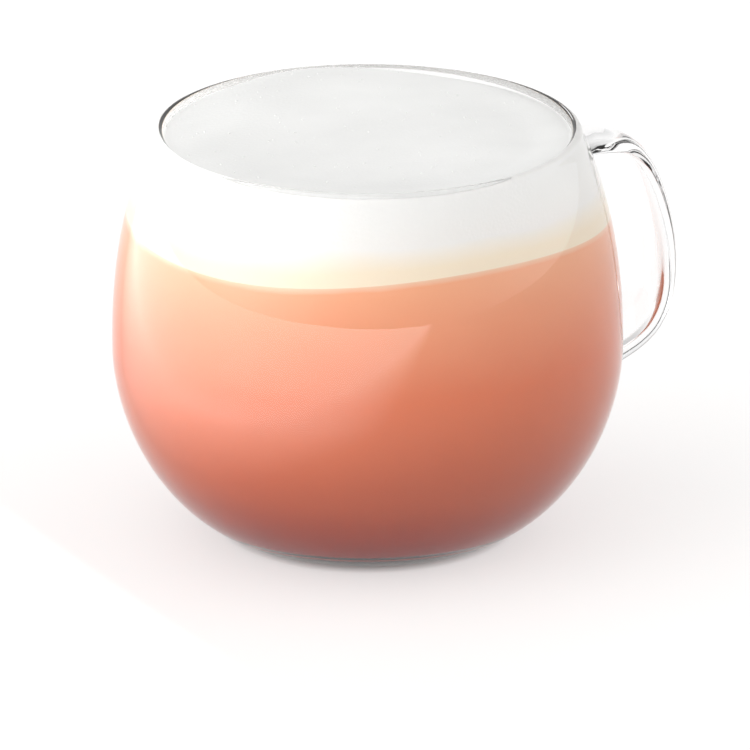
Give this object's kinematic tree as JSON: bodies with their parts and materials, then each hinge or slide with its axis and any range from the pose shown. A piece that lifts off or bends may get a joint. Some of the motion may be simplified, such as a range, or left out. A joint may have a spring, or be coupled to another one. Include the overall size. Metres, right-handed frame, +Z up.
{
  "type": "caffe mocha in a glass mug",
  "caption": "Clear glass globe mug with a flat ribbon handle, filled with mocha under a cream coloured layer and white milk foam level with the rim",
  "frame": {"origin": "centre of the flat underside of the foot", "axes": "+Z up along the mug's axis, +X through the handle"},
  "size_m": [0.1088, 0.0952, 0.0809],
  "materials": {
    "clear_glass": "clear smooth drinking glass",
    "mocha_drink": "milky salmon brown drink",
    "crema_layer": "fine cream coloured froth",
    "white_foam": "soft white milk foam with fine bubbles"
  },
  "bodies": {
    "root": {"glass_mug": "clear_glass", "mocha": "mocha_drink", "crema": "crema_layer", "milk_foam": "white_foam"}
  },
  "joints": []
}
